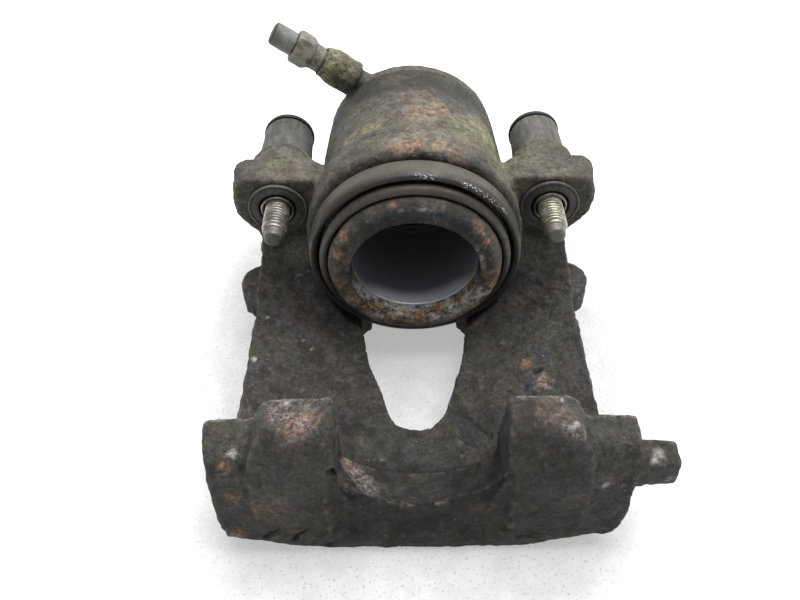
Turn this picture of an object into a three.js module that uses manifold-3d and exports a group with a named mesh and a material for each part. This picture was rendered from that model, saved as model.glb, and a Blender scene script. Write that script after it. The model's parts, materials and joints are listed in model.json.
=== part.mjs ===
// Floating brake caliper: a one-piston cast housing with its piston, seal, dust boot, two guide pins
// in rubber bushes and a bleed screw. It lies on the back of its bridge with the disc gap facing up.
//
// Row frame, in millimetres, +Z up: the origin is on the flat at the back of the bridge, below the
// finger wall, and +Y runs from the fingers to the closed end of the cylinder.
// Every piece is drawn in the bore frame: its origin lies on the bore's axis, just in front of the
// housing's mouth, and +Y runs along the bore. The group at the end puts it in its place in the row frame.
import * as THREE from 'three';
import { mergeVertices } from 'three/addons/utils/BufferGeometryUtils.js';
import Module from 'manifold-3d';

const wasm = await Module();
wasm.setup();

// ---------- Driving dimensions ----------
const BORE_HEIGHT = 42; // bore axis above the surface that the caliper lies on
const BORE_FRAME_Y = 66; // bore frame's origin behind the row frame's
const GAP = 0.3; // clearance kept between neighbouring pieces

const PISTON_FACE = -6; // piston's open face at rest
const PISTON_RADIUS = 27;
const PISTON_LENGTH = 52;
const CUP_RADIUS = 20;
const CUP_DEPTH = 43;

const MOUTH = 8.5; // housing's mouth
const MOUTH_RADIUS = 34.5;
const BORE_END = 62;
const BARREL_END = 74.5;
const SEAL_START = 22;
const SEAL_WIDTH = 3.2;
const SEAL_RADIUS = 30;

const PAD_GAP = 56; // from the bore frame's origin to the finger wall
const WALL_OUTSIDE = 75.3; // outboard face of the wall at its foot
const WALL_HALF_WIDTH = 57.5;
const WALL_TOP = -3.5;
const FINGER_TOP = 5.5;
const FINGER_INSIDE = 21.5;
const FINGER_OUTSIDE = 41;

const BRIDGE_HALF_WIDTH = 52.3;
const BRIDGE_INSIDE_RADIUS = 125; // clears the disc's rim
const BRIDGE_INSIDE = -30;
const BRIDGE_BACK_RADIUS = 100;
const FLAT_HALF_WIDTH = 24;
const KEEL_END = 36; // the flat at the back runs this far under the cylinder

const PIN_SPACING = 88;
const PIN_HEIGHT = 6;
const EAR_FRONT = 19.5;
const EAR_BACK = 31;
const EAR_TOP = 17;
const PIN_BOSS_RADIUS = 10.6;
const PIN_BOSS_END = 41;
const PIN_HOLE_RADIUS = 8.3;

const SLEEVE_RADIUS = 5.4;
const SLEEVE_BORE = 4.5;
const SLEEVE_START = 17.6;
const SLEEVE_LENGTH = 32;
const BOLT_RADIUS = 4;
const BOLT_TIP = 3.5;
const BOLT_THREAD_START = 8;
const HEAD_RADIUS = 6.3;
const HEAD_HEIGHT = 5.2;
const SOCKET_FLATS = 7;
const BUSH_RADIUS = 8.7;
const BUSH_FLANGE_RADIUS = 9.6;
const BUSH_FRONT = 18;
const BUSH_END = 58.3;
const BUSH_HEAD_RADIUS = 6.9;

const BLEEDER_Y = 66.5;
const BLEEDER_RISE = 11; // its axis crosses the middle plane this far above the bore axis
const BLEEDER_ANGLE = 34.1; // above the horizontal, on the -X side
const BLEEDER_BOSS_START = 24; // distances along the bleed screw are from that crossing
const BLEEDER_BOSS_END = 37;
const BLEEDER_BOSS_RADIUS = 6.1;
const BLEEDER_HOLE_RADIUS = 4.1;
const BLEEDER_PASSAGE_RADIUS = 1.5;
const BLEEDER_HEX_START = 40.3;
const BLEEDER_HEX_END = 47.6;
const BLEEDER_HEX_FLATS = 10;
const BLEEDER_NIPPLE_END = 53.5;
const CAP_END = 55.9;

const PORT_HEIGHT = -10; // hose port in the closed end
const PORT_RADIUS = 4.5;
const PORT_BOSS_RADIUS = 9;
const PORT_FACE = 80;

// ---------- Geometry helpers ----------
const alongX = new THREE.Matrix4().makeBasis(
  new THREE.Vector3(0, 1, 0), new THREE.Vector3(0, 0, 1), new THREE.Vector3(1, 0, 0));
const alongY = new THREE.Matrix4().makeBasis(
  new THREE.Vector3(1, 0, 0), new THREE.Vector3(0, 0, 1), new THREE.Vector3(0, -1, 0));

// Closed shape through corners given as [x, y, rounding].
function outline(corners) {
  const count = corners.length;
  const path = new THREE.Shape();
  corners.forEach(([x, y, rounding = 0], i) => {
    const here = new THREE.Vector2(x, y);
    const toward = ([nextX, nextY]) => {
      const step = new THREE.Vector2(nextX, nextY).sub(here);
      return here.clone().addScaledVector(step.normalize(), rounding);
    };
    const start = toward(corners[(i + count - 1) % count]);
    const end = toward(corners[(i + 1) % count]);
    if (i === 0) path.moveTo(start.x, start.y);
    else path.lineTo(start.x, start.y);
    if (rounding > 0) path.quadraticCurveTo(x, y, end.x, end.y);
  });
  path.closePath();
  return path;
}

// Right half of an outline, bottom to top, closed with its mirror image.
function mirrored(half) {
  const left = half.map(([x, y, rounding]) => [-x, y, rounding]).reverse();
  return outline([...half, ...left]);
}

function extrude(shape, depth) {
  return new THREE.ExtrudeGeometry(shape, { depth, bevelEnabled: false, curveSegments: 6 });
}

const prismX = (shape, start, end) => extrude(shape, end - start).applyMatrix4(alongX).translate(start, 0, 0);
const prismY = (shape, start, end) => extrude(shape, end - start).applyMatrix4(alongY).translate(0, end, 0);
const prismZ = (shape, start, end) => extrude(shape, end - start).translate(0, 0, start);

// Solid of revolution about Y through [radius, y] points; the profile closes on the axis or on itself.
function turned(profile, segments) {
  return new THREE.LatheGeometry(profile.map(([radius, y]) => new THREE.Vector2(radius, y)), segments);
}

function ring(inside, outside, start, end, segments) {
  const section = [[inside, start], [outside, start], [outside, end], [inside, end], [inside, start]];
  return turned(section, segments);
}

function rod(radius, start, end, segments) {
  return turned([[0, start], [radius, start], [radius, end], [0, end]], segments);
}

function hexPrism(flats, start, end) {
  return turned([[0, start], [flats / Math.sqrt(3), start], [flats / Math.sqrt(3), end], [0, end]], 6);
}

// Merges shared corners, drops collapsed triangles and turns the faces outwards.
function closed(geometry) {
  const bare = geometry.clone();
  bare.deleteAttribute('normal');
  bare.deleteAttribute('uv');
  const merged = mergeVertices(bare, 1e-4);
  const position = merged.getAttribute('position');
  const corner = (i) => new THREE.Vector3().fromBufferAttribute(position, i);
  const triangles = [];
  let volume = 0;
  for (let i = 0; i < merged.index.count; i += 3) {
    const [a, b, c] = [0, 1, 2].map((k) => merged.index.getX(i + k));
    if (a === b || b === c || c === a) continue;
    triangles.push(a, b, c);
    volume += corner(a).dot(corner(b).cross(corner(c)));
  }
  if (volume < 0) triangles.reverse();
  merged.setIndex(triangles);
  return merged;
}

function toManifold(geometry) {
  const solid = closed(geometry);
  return new wasm.Manifold(new wasm.Mesh({
    numProp: 3,
    vertProperties: new Float32Array(solid.getAttribute('position').array),
    triVerts: new Uint32Array(solid.index.array),
  }));
}

function toGeometry(manifold) {
  const mesh = manifold.getMesh();
  const geometry = new THREE.BufferGeometry();
  geometry.setAttribute('position', new THREE.BufferAttribute(new Float32Array(mesh.vertProperties), 3));
  geometry.setIndex(new THREE.BufferAttribute(new Uint32Array(mesh.triVerts), 1));
  return geometry;
}

const join = (pieces) => pieces.map(toManifold).reduce((whole, piece) => whole.add(piece));
const cut = (solid, tools) => tools.map(toManifold).reduce((whole, tool) => whole.subtract(tool), solid);

// Length along the bleed screw is drawn on +Y and turned to its direction on the cylinder.
function onBleederAxis(geometry) {
  return geometry.rotateZ(THREE.MathUtils.degToRad(90 - BLEEDER_ANGLE))
    .rotateX(Math.PI / 2).translate(0, BLEEDER_Y, BLEEDER_RISE);
}

const onPinAxis = (geometry, side) => geometry.translate(side * PIN_SPACING / 2, 0, PIN_HEIGHT);

// ---------- Housing ----------
// Points on a circle about the middle plane, from one x to another.
function arc(radius, height, fromX, toX, steps) {
  return Array.from({ length: steps + 1 }, (_, i) => {
    const x = THREE.MathUtils.lerp(fromX, toX, i / steps);
    return [x, height + radius - Math.sqrt(radius * radius - x * x)];
  });
}

const flatRise = BRIDGE_BACK_RADIUS - Math.sqrt(BRIDGE_BACK_RADIUS ** 2 - FLAT_HALF_WIDTH ** 2);
const backArc = arc(BRIDGE_BACK_RADIUS, -BORE_HEIGHT - flatRise, FLAT_HALF_WIDTH, BRIDGE_HALF_WIDTH, 5);
const insideArc = arc(BRIDGE_INSIDE_RADIUS, BRIDGE_INSIDE, BRIDGE_HALF_WIDTH, 6, 6);

function bridge() {
  return prismY(mirrored([...backArc, ...insideArc]), -WALL_OUTSIDE + 6, EAR_FRONT + 1);
}

// Transverse wall in the plane of the ears, from the bridge up to the guide pins.
const earOutline = mirrored([...backArc, [53, -20, 2], [50, -6.5, 3], [54, -2.5, 3], [58, 3, 3], [58, 11, 3],
  [55.5, EAR_TOP, 3], [32, EAR_TOP], [26, 12]]);

function earWall() {
  const wall = prismY(earOutline, EAR_FRONT, EAR_BACK);
  const position = wall.getAttribute('position');
  for (let i = 0; i < position.count; i += 1) {
    const depth = (position.getY(i) - EAR_FRONT) / (EAR_BACK - EAR_FRONT);
    position.setX(i, position.getX(i) * (1 + 0.025 * depth));
  }
  return wall;
}

// Ramp from the inside of the bridge up to the transverse wall.
function ramp() {
  const side = outline([[-14, -34], [EAR_FRONT + 1, -34], [EAR_FRONT + 1, -6], [13, -8, 3], [4, -19, 6]]);
  return toManifold(prismX(side, -60, 60)).intersect(toManifold(prismY(earOutline, -15, EAR_FRONT + 1)));
}

function keel() {
  return prismX(outline([[6, -BORE_HEIGHT], [KEEL_END, -BORE_HEIGHT, 1], [54, -31], [54, -20], [6, -20]]),
    -FLAT_HALF_WIDTH, FLAT_HALF_WIDTH);
}

function cylinder() {
  return turned([[0, MOUTH], [MOUTH_RADIUS - 1, MOUTH], [MOUTH_RADIUS, MOUTH + 1], [MOUTH_RADIUS, 18],
    [32.2, 27], [31.3, 40], [30.2, 60], [29.4, 67], [26.4, 71.5], [21, 73.8], [14, BARREL_END],
    [0, BARREL_END]], 56);
}

// Outboard wall: its section along the bore, trimmed to its outline seen along the bore.
function fingerWall() {
  const section = outline([[-PAD_GAP, WALL_TOP], [-66, WALL_TOP, 4], [-71, -15, 4], [-WALL_OUTSIDE, -37, 3],
    [-WALL_OUTSIDE + 1.5, -BORE_HEIGHT - 2], [-PAD_GAP, -BORE_HEIGHT - 2]]);
  const front = mirrored([...backArc.slice(0, 4), [53, -34.2, 3], [55.4, -29, 2.5], [WALL_HALF_WIDTH, -18, 3],
    [WALL_HALF_WIDTH, WALL_TOP, 2]]);
  const plan = outline([[60, -50], [WALL_HALF_WIDTH, -60], [56.2, -70], [55.6, -77, 3], [-54.8, -77, 5],
    [-55.6, -68, 4], [-WALL_HALF_WIDTH, -57], [-60, -50]]);
  const wall = toManifold(prismX(section, -60, 60))
    .intersect(toManifold(prismY(front, -WALL_OUTSIDE - 1, -PAD_GAP)))
    .intersect(toManifold(prismZ(plan, -BORE_HEIGHT - 3, 0)));
  const fingerSection = outline([[-PAD_GAP, FINGER_TOP, 1], [-67.5, FINGER_TOP, 6], [-72.5, -12, 3],
    [-WALL_OUTSIDE, -37], [-PAD_GAP, -37]]);
  const fingerFront = [[FINGER_INSIDE - 6, -30], [44.5, -30], [44.5, WALL_TOP - 2, 3],
    [FINGER_OUTSIDE - 1, FINGER_TOP, 4], [FINGER_INSIDE + 1, FINGER_TOP, 2], [FINGER_INSIDE, -12]];
  const fingers = [-1, 1].map((side) => {
    const shape = outline(fingerFront.map(([x, z, rounding]) => [side * x, z, rounding]));
    return toManifold(prismY(shape, -WALL_OUTSIDE - 1, -PAD_GAP))
      .intersect(toManifold(prismX(fingerSection, -46, 46)));
  });
  return wall.add(fingers[0]).add(fingers[1]);
}

function sideLugs() {
  const lug = new THREE.CylinderGeometry(8.5, 8.5, 11, 20).rotateX(Math.PI / 2);
  return [-1, 1].map((side) => lug.clone().translate(side * 51, 12.5, -26));
}

// Stub on the right-hand end of the finger wall.
function endLug() {
  const section = outline([[-59.5, -8, 2], [-68.5, -9, 2], [-69.5, -19.5, 2], [-60, -22, 2]]);
  const stub = prismX(section, 50, 68);
  const position = stub.getAttribute('position');
  for (let i = 0; i < position.count; i += 1) {
    const taper = 1 - 0.0095 * (position.getX(i) - 50);
    position.setY(i, -64.5 + (position.getY(i) + 64.5) * taper);
    position.setZ(i, -14 + (position.getZ(i) + 14) * taper);
  }
  return stub;
}

// Window through the bridge; at the back it also runs on below the cylinder's mouth.
function windowCut() {
  const shape = new THREE.Shape();
  shape.moveTo(18, 4);
  shape.quadraticCurveTo(17.6, -12, 12.6, -24);
  shape.lineTo(9.2, -35);
  shape.quadraticCurveTo(7, -42.5, 0, -42.5);
  shape.quadraticCurveTo(-7, -42.5, -9.2, -35);
  shape.lineTo(-12.6, -24);
  shape.quadraticCurveTo(-17.6, -12, -18, 4);
  shape.quadraticCurveTo(-17.5, 8, -13, 8);
  shape.lineTo(13, 8);
  shape.quadraticCurveTo(17.5, 8, 18, 4);
  const below = outline([[-15, 0], [15, 0], [15, 13, 3], [-15, 13, 3]]);
  return toManifold(prismZ(shape, -60, -15)).add(toManifold(prismZ(below, -60, -35)));
}

// Recess between the fingers, flaring towards the pad side.
function fingerRecess() {
  const flare = turned([[0, -WALL_OUTSIDE - 2], [23.4, -WALL_OUTSIDE - 2], [23.4, -70.5], [29.8, -57.5],
    [29.8, -PAD_GAP + 4], [0, -PAD_GAP + 4]], 48);
  const slot = prismY(outline([[-FINGER_INSIDE, -34], [FINGER_INSIDE, -34], [FINGER_INSIDE + 0.5, 40],
    [-FINGER_INSIDE - 0.5, 40]]), -WALL_OUTSIDE - 4, -PAD_GAP + 6);
  const opening = prismY(outline([[-FINGER_INSIDE, -6], [FINGER_INSIDE, -6], [FINGER_INSIDE + 0.5, 40],
    [-FINGER_INSIDE - 0.5, 40]]), -WALL_OUTSIDE - 4, -PAD_GAP + 6);
  return toManifold(flare).intersect(toManifold(slot)).add(toManifold(opening));
}

// Cast spigot for the bleed screw, on a thinner neck.
function bleederBoss() {
  return onBleederAxis(turned([[0, 13], [4.4, 13], [4.4, BLEEDER_BOSS_START],
    [BLEEDER_BOSS_RADIUS, BLEEDER_BOSS_START], [BLEEDER_BOSS_RADIUS, BLEEDER_BOSS_END - 4.5],
    [BLEEDER_BOSS_RADIUS - 1.1, BLEEDER_BOSS_END], [0, BLEEDER_BOSS_END]], 24));
}

// Threaded hole with its conical seat, and the passage to the back of the bore.
function bleederPassage() {
  const seat = BLEEDER_BOSS_START + 1;
  const hole = onBleederAxis(turned([[0, 16], [BLEEDER_PASSAGE_RADIUS, 16], [BLEEDER_PASSAGE_RADIUS, seat],
    [BLEEDER_HOLE_RADIUS, seat + 2.6], [BLEEDER_HOLE_RADIUS, BLEEDER_BOSS_END + 1],
    [0, BLEEDER_BOSS_END + 1]], 20));
  const intoBore = rod(BLEEDER_PASSAGE_RADIUS, BORE_END - 2, BLEEDER_Y + 1, 20).translate(-14, 0, 20.5);
  return toManifold(hole).add(toManifold(intoBore));
}

function housing() {
  const pinBosses = [-1, 1].map((side) =>
    onPinAxis(turned([[0, 24], [PIN_BOSS_RADIUS + 1.2, 24], [PIN_BOSS_RADIUS + 1, 33],
      [PIN_BOSS_RADIUS, PIN_BOSS_END], [0, PIN_BOSS_END]], 32), side));
  const portBoss = rod(PORT_BOSS_RADIUS, 66, PORT_FACE, 28).translate(0, 0, PORT_HEIGHT);
  const casting = join([bridge(), earWall(), keel(), cylinder(), ...sideLugs(), endLug(), ...pinBosses,
    bleederBoss(), portBoss]).add(ramp()).add(fingerWall()).subtract(fingerRecess());
  const bootRoom = turned([[0, -9], [30.5, -9], [MOUTH_RADIUS - 0.2, 1], [MOUTH_RADIUS - 0.2, MOUTH],
    [0, MOUTH]], 56);
  const bore = turned([[0, -2], [SEAL_RADIUS - 0.5, -2], [SEAL_RADIUS - 0.5, MOUTH + 4],
    [PISTON_RADIUS + GAP, MOUTH + 4], [PISTON_RADIUS + GAP, BORE_END], [0, BORE_END]], 56);
  const sealGroove = rod(SEAL_RADIUS + GAP, SEAL_START, SEAL_START + SEAL_WIDTH + 2 * GAP, 56);
  const pinHoles = [-1, 1].map((side) => onPinAxis(rod(PIN_HOLE_RADIUS, 10, PIN_BOSS_END + 2, 32), side));
  const port = rod(PORT_RADIUS, BORE_END - 2, PORT_FACE + 2, 24).translate(0, 0, PORT_HEIGHT);
  const solid = cut(casting, [bootRoom, bore, sealGroove, ...pinHoles, port]);
  return toGeometry(solid.subtract(windowCut()).subtract(bleederPassage()));
}

// ---------- Pieces in the cylinder ----------
function piston() {
  return turned([[0, CUP_DEPTH], [CUP_RADIUS - 3.4, CUP_DEPTH], [CUP_RADIUS - 0.4, CUP_DEPTH - 3],
    [CUP_RADIUS - 0.4, 6.4], [CUP_RADIUS, 5.6], [CUP_RADIUS, 0.4], [CUP_RADIUS + 0.4, 0],
    [PISTON_RADIUS - 2.8, 0], [PISTON_RADIUS - 1.6, 0.8], [PISTON_RADIUS - 0.5, 2.1], [PISTON_RADIUS, 3.6],
    [PISTON_RADIUS, 4.4], [PISTON_RADIUS - 1.4, 4.8], [PISTON_RADIUS - 1.4, 7.2], [PISTON_RADIUS, 7.6],
    [PISTON_RADIUS, PISTON_LENGTH - 2], [PISTON_RADIUS - 2, PISTON_LENGTH], [0, PISTON_LENGTH]], 56)
    .translate(0, PISTON_FACE, 0);
}

function pistonSeal() {
  return ring(PISTON_RADIUS + GAP, SEAL_RADIUS, SEAL_START + GAP, SEAL_START + GAP + SEAL_WIDTH, 56);
}

// Boot: a collar pressed into the mouth of the bore, two folds in front of it and a lip on the piston.
function dustBoot() {
  const lip = PISTON_RADIUS + GAP;
  const collar = SEAL_RADIUS - 0.5 - GAP;
  return turned([[lip, -2.5], [28.4, -2.5], [29.4, -1.9], [29.9, -0.9], [29.9, -0.5], [32, -0.5], [32.9, 0.3],
    [33.2, 1.4], [33.2, MOUTH - GAP], [collar, MOUTH - GAP], [collar, MOUTH + 4 - GAP],
    [lip + 0.3, MOUTH + 4 - GAP], [lip + 0.3, 3.1], [lip, 2.5], [lip, -2.5]], 56);
}

// ---------- Guide pins ----------
function bush(side) {
  const sleeveBore = SLEEVE_RADIUS + GAP;
  return onPinAxis(turned([[6.2, BUSH_FRONT], [BUSH_FLANGE_RADIUS - 0.4, BUSH_FRONT],
    [BUSH_FLANGE_RADIUS, BUSH_FRONT + 0.4], [BUSH_FLANGE_RADIUS, EAR_FRONT - GAP],
    [PIN_HOLE_RADIUS - GAP, EAR_FRONT - GAP], [PIN_HOLE_RADIUS - GAP, PIN_BOSS_END + GAP],
    [BUSH_RADIUS + 0.4, PIN_BOSS_END + GAP], [BUSH_RADIUS, BUSH_END], [BUSH_HEAD_RADIUS, BUSH_END],
    [BUSH_HEAD_RADIUS, 37], [sleeveBore, 36], [sleeveBore, BUSH_FRONT + 2], [6.2, BUSH_FRONT + 2],
    [6.2, BUSH_FRONT]], 32), side);
}

function sleeve(side) {
  return onPinAxis(ring(SLEEVE_BORE, SLEEVE_RADIUS, SLEEVE_START, SLEEVE_START + SLEEVE_LENGTH, 32), side);
}

function bolt(side) {
  const headStart = SLEEVE_START + SLEEVE_LENGTH + GAP;
  const headEnd = headStart + HEAD_HEIGHT;
  const tip = BOLT_RADIUS - 0.9;
  const body = turned([[0, BOLT_TIP], [tip - 0.6, BOLT_TIP], [tip, BOLT_TIP + 0.8],
    [tip, BOLT_THREAD_START - 0.6], [BOLT_RADIUS, BOLT_THREAD_START + 0.4], [BOLT_RADIUS, headStart],
    [HEAD_RADIUS, headStart], [HEAD_RADIUS, headEnd - 0.6], [HEAD_RADIUS - 0.6, headEnd],
    [0, headEnd]], 24);
  const socket = hexPrism(SOCKET_FLATS, headEnd - 3.6, headEnd + 1);
  return onPinAxis(toGeometry(cut(toManifold(body), [socket])), side);
}

function cap(side) {
  const plug = BUSH_HEAD_RADIUS - GAP;
  return onPinAxis(turned([[0, BUSH_END - 2], [plug, BUSH_END - 2], [plug, BUSH_END + GAP],
    [9, BUSH_END + GAP], [9, BUSH_END + 2.2], [8.2, BUSH_END + 2.9], [0, BUSH_END + 2.9]], 32), side);
}

// ---------- Bleed screw ----------
function bleederScrew() {
  const thread = BLEEDER_HOLE_RADIUS - GAP;
  const tip = BLEEDER_BOSS_START + 2;
  const hexRadius = BLEEDER_HEX_FLATS / Math.sqrt(3);
  const shank = turned([[0, tip], [1.2, tip], [thread, tip + 2.6], [thread, BLEEDER_BOSS_END + GAP],
    [4.5, BLEEDER_BOSS_END + GAP], [4.4, BLEEDER_HEX_START + 0.5], [4.4, BLEEDER_HEX_END - 0.5],
    [3, BLEEDER_HEX_END], [2.4, BLEEDER_HEX_END + 2], [3, BLEEDER_HEX_END + 3.6],
    [2.4, BLEEDER_NIPPLE_END], [0, BLEEDER_NIPPLE_END]], 24);
  const hex = toManifold(hexPrism(BLEEDER_HEX_FLATS, BLEEDER_HEX_START, BLEEDER_HEX_END))
    .intersect(toManifold(turned([[0, BLEEDER_HEX_START - 1], [4, BLEEDER_HEX_START - 1],
      [hexRadius + 0.1, BLEEDER_HEX_START + 3.2], [hexRadius + 0.1, BLEEDER_HEX_END - 0.6],
      [hexRadius - 0.8, BLEEDER_HEX_END + 0.1], [0, BLEEDER_HEX_END + 0.1]], 24)));
  const crossHoleAt = tip + 4.5;
  const drilled = rod(0.9, crossHoleAt - 1, BLEEDER_NIPPLE_END + 1, 12);
  const crossHole = rod(0.9, -6, 6, 12).rotateX(Math.PI / 2).translate(0, crossHoleAt, 0);
  return onBleederAxis(toGeometry(cut(toManifold(shank).add(hex), [drilled, crossHole])));
}

function bleederCap() {
  const start = BLEEDER_HEX_END + GAP;
  return onBleederAxis(turned([[3.3, start], [4.2, start], [4.1, CAP_END - 0.8], [3.5, CAP_END], [0, CAP_END],
    [0, BLEEDER_NIPPLE_END + GAP], [3.3, BLEEDER_NIPPLE_END + GAP], [3.3, start]], 24));
}

// ---------- Assembly ----------
const finish = (color, roughness, metalness) =>
  new THREE.MeshStandardMaterial({ color, roughness, metalness });
const castIron = finish(0x4a413a, 0.85, 0.4);
const rustyRim = finish(0x5d5148, 0.7, 0.5);
const bootRubber = finish(0x3b3935, 0.6, 0);
const bushRubber = finish(0x6a655c, 0.8, 0);
const blackPlastic = finish(0x232322, 0.6, 0);
const zincSteel = finish(0xa49a80, 0.4, 0.9);
const sleeveSteel = finish(0x8b8980, 0.4, 0.9);
const dirtySteel = finish(0x6d6a5e, 0.7, 0.6);

const boreFrame = new THREE.Group();
boreFrame.position.set(0, BORE_FRAME_Y, BORE_HEIGHT);

function place(name, geometry, material) {
  const mesh = new THREE.Mesh(closed(geometry), material);
  mesh.name = name;
  boreFrame.add(mesh);
}

place('housing', housing(), castIron);
place('piston', piston(), rustyRim);
place('piston_seal', pistonSeal(), bootRubber);
place('dust_boot', dustBoot(), bootRubber);
place('bleeder_screw', bleederScrew(), dirtySteel);
place('bleeder_cap', bleederCap(), bushRubber);
for (const [label, side] of [['left', -1], ['right', 1]]) {
  place(`${label}_guide_bush`, bush(side), bushRubber);
  place(`${label}_guide_sleeve`, sleeve(side), sleeveSteel);
  place(`${label}_guide_bolt`, bolt(side), zincSteel);
  place(`${label}_guide_cap`, cap(side), blackPlastic);
}

const caliper = new THREE.Group();
caliper.add(boreFrame);
export default caliper;
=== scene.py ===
import json
import math

import bpy
import numpy as np
from mathutils import Matrix, Vector


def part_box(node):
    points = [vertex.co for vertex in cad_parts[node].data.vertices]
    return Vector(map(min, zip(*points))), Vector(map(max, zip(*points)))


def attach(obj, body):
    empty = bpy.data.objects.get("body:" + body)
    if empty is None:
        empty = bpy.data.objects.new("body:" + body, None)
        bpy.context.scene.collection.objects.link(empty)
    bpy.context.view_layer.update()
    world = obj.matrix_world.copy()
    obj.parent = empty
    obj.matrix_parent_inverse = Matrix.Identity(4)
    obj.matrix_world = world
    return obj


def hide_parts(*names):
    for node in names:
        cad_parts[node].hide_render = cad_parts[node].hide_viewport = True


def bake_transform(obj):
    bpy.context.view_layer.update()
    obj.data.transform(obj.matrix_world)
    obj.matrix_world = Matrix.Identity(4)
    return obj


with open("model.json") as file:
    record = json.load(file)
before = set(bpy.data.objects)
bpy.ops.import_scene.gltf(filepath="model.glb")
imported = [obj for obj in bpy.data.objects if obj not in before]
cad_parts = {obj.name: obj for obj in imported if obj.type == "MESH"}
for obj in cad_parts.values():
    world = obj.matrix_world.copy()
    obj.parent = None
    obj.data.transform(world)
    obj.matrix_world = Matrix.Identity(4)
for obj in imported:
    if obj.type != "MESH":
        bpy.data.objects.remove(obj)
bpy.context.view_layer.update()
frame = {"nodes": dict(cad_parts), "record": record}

# A worn floating brake caliper. Shapes are worked out in millimetres in the bore frame, as in the CAD:
# its origin lies on the bore's axis, just in front of the housing's mouth, and +Y runs along the bore.
MM = 0.001
HOUSING = "housing"
PISTON_FACE = -6.0  # the piston's open face in the bore frame
SIDES = ("left", "right")


def middle(node):
    low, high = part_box(node)
    return (low + high) / 2


piston_low, piston_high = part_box("piston")
BORE = np.array([middle("piston").x, piston_low.y - PISTON_FACE * MM, middle("piston").z])
PISTON_RADIUS = (piston_high.x - piston_low.x) / 2 / MM
PISTON_LENGTH = (piston_high.y - piston_low.y) / MM
bleeder_joint = next(j for j in frame["record"]["behaviour"]["joints"] if j["name"] == "bleeder_turn")
BLEEDER_AXIS = np.array(bleeder_joint["axis"], float)
BLEEDER_AXIS /= np.linalg.norm(BLEEDER_AXIS)


def to_bore(points):
    return (np.asarray(points, float) - BORE) / MM


def to_row(points):
    return np.asarray(points, float) * MM + BORE


# ---------- Noise ----------
def lattice(cells, seed):
    """A repeatable number from 0 to 1 for each whole-number cell."""
    c = cells.astype(np.int64).astype(np.uint32)
    h = c[:, 0] * np.uint32(374761393) + c[:, 1] * np.uint32(668265263) + c[:, 2] * np.uint32(2147483647)
    h = (h ^ np.uint32(seed * 7919 + 13)) * np.uint32(1274126177)
    h = (h ^ (h >> np.uint32(13))) * np.uint32(2246822519)
    h = h ^ (h >> np.uint32(16))
    return h.astype(np.float64) / 4294967295.0


def noise(points, size, seed):
    """Smooth noise from -1 to 1 with features of that size, in the units of the points."""
    p = np.asarray(points, float) / size + 100.5
    cell = np.floor(p)
    f = p - cell
    f = f * f * f * (f * (f * 6 - 15) + 10)
    total = np.zeros(len(p))
    for corner in range(8):
        offset = np.array([corner & 1, (corner >> 1) & 1, (corner >> 2) & 1])
        weight = np.prod(np.where(offset, f, 1 - f), axis=1)
        total += weight * lattice(cell + offset, seed)
    return total * 2 - 1


def fractal(points, size, octaves, seed):
    total, amplitude, norm = np.zeros(len(points)), 1.0, 0.0
    for k in range(octaves):
        total += amplitude * noise(points, size / 2 ** k, seed + 17 * k)
        norm += amplitude
        amplitude *= 0.55
    return total / norm


def ramp(values, low, high):
    t = np.clip((np.asarray(values, float) - low) / (high - low), 0, 1)
    return t * t * (3 - 2 * t)


def peak(offset, width):
    return np.exp(-(offset / width) ** 2)


def blobs(points, spots):
    """Soft spots, each given as (x, y, z, radius, strength) in millimetres."""
    total = np.zeros(len(points))
    for x, y, z, radius, strength in spots:
        d = np.linalg.norm(points - np.array([x, y, z]), axis=1)
        total = np.maximum(total, strength * (1 - ramp(d, 0.35 * radius, radius)))
    return total


def patches(points, spots, strength, size, seed, swing=0.5):
    """Blobs that come and go with noise of that size."""
    return blobs(points, spots) * (strength + swing * fractal(points, size, 2, seed))


# ---------- Mesh helpers ----------
def coordinates(mesh):
    co = np.empty(len(mesh.vertices) * 3)
    mesh.vertices.foreach_get("co", co)
    return co.reshape(-1, 3)


def normals(mesh):
    no = np.empty(len(mesh.vertices) * 3)
    mesh.vertices.foreach_get("normal", no)
    return no.reshape(-1, 3)


def place_vertices(mesh, co):
    mesh.vertices.foreach_set("co", co.astype(np.float32).ravel())
    mesh.update()


def edge_list(mesh):
    edges = np.empty(len(mesh.edges) * 2, np.int64)
    mesh.edges.foreach_get("vertices", edges)
    return edges.reshape(-1, 2)


def relaxed(values, edges, rounds, strength):
    """Each value moves towards the mean of its neighbours."""
    values = values.copy()
    flat = values.ndim == 1
    if flat:
        values = values[:, None]
    count = np.bincount(edges.ravel(), minlength=len(values)).astype(float)
    count[count == 0] = 1
    if np.ndim(strength):
        strength = np.asarray(strength)[:, None]
    for _ in range(rounds):
        mean = np.stack([
            np.bincount(edges[:, 0], values[edges[:, 1], k], len(values))
            + np.bincount(edges[:, 1], values[edges[:, 0], k], len(values))
            for k in range(values.shape[1])], axis=1) / count[:, None]
        values += strength * (mean - values)
    return values[:, 0] if flat else values


def set_mask(mesh, name, values):
    attribute = mesh.attributes.new(name, "FLOAT", "POINT")
    attribute.data.foreach_set("value", np.clip(values, 0, 1).astype(np.float32))


def empty_masks(mesh, *names):
    """Masks that the piece's material reads and that stay blank on it."""
    for name in names:
        set_mask(mesh, name, np.zeros(len(mesh.vertices)))


def new_piece(name, mesh, material, body, nodes, sharp=35):
    mesh.polygons.foreach_set("use_smooth", np.ones(len(mesh.polygons), bool))
    if sharp:
        mesh.set_sharp_from_angle(angle=math.radians(sharp))
    mesh.materials.clear()
    mesh.materials.append(material)
    piece = bpy.data.objects.new(name, mesh)
    bpy.context.scene.collection.objects.link(piece)
    if body:
        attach(piece, body)
    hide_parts(*nodes)
    return piece


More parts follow.
